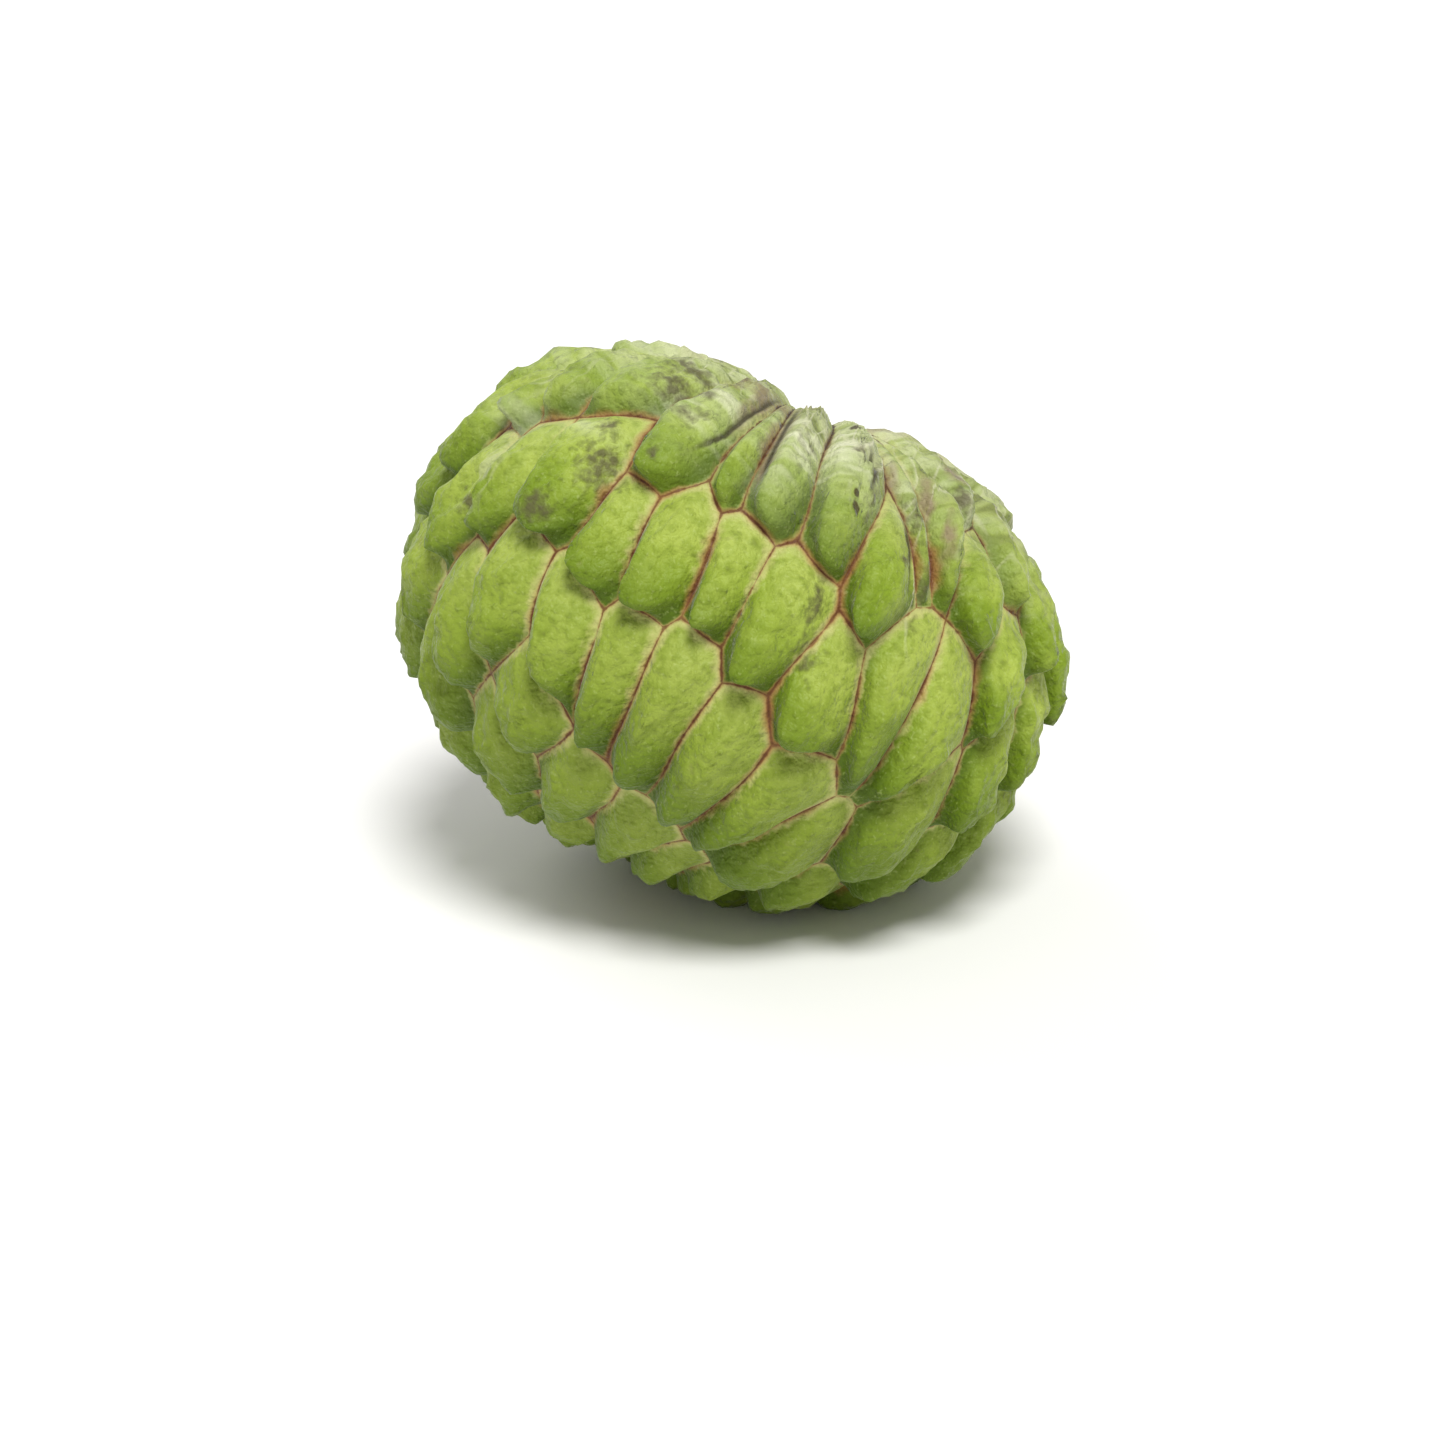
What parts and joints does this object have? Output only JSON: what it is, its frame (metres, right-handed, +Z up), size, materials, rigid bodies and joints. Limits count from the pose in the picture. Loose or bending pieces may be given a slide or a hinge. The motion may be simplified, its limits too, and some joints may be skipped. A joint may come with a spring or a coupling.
{
  "type": "custard apple",
  "caption": "Whole custard apple: a squat green fruit covered in raised overlapping scales round a stem pit.",
  "frame": {"origin": "on the surface that the fruit rests on, under the middle of the fruit", "axes": "+Z up, front towards -Y; the stem pit leans 30 degrees off +Z, to the right and back"},
  "size_m": [0.0966, 0.0964, 0.0828],
  "materials": {
    "fruit_skin": "leathery pebbled green skin, semi-matt, paler towards the stem, with rust-brown seams"
  },
  "bodies": {
    "root": {"fruit": "fruit_skin"}
  },
  "joints": []
}
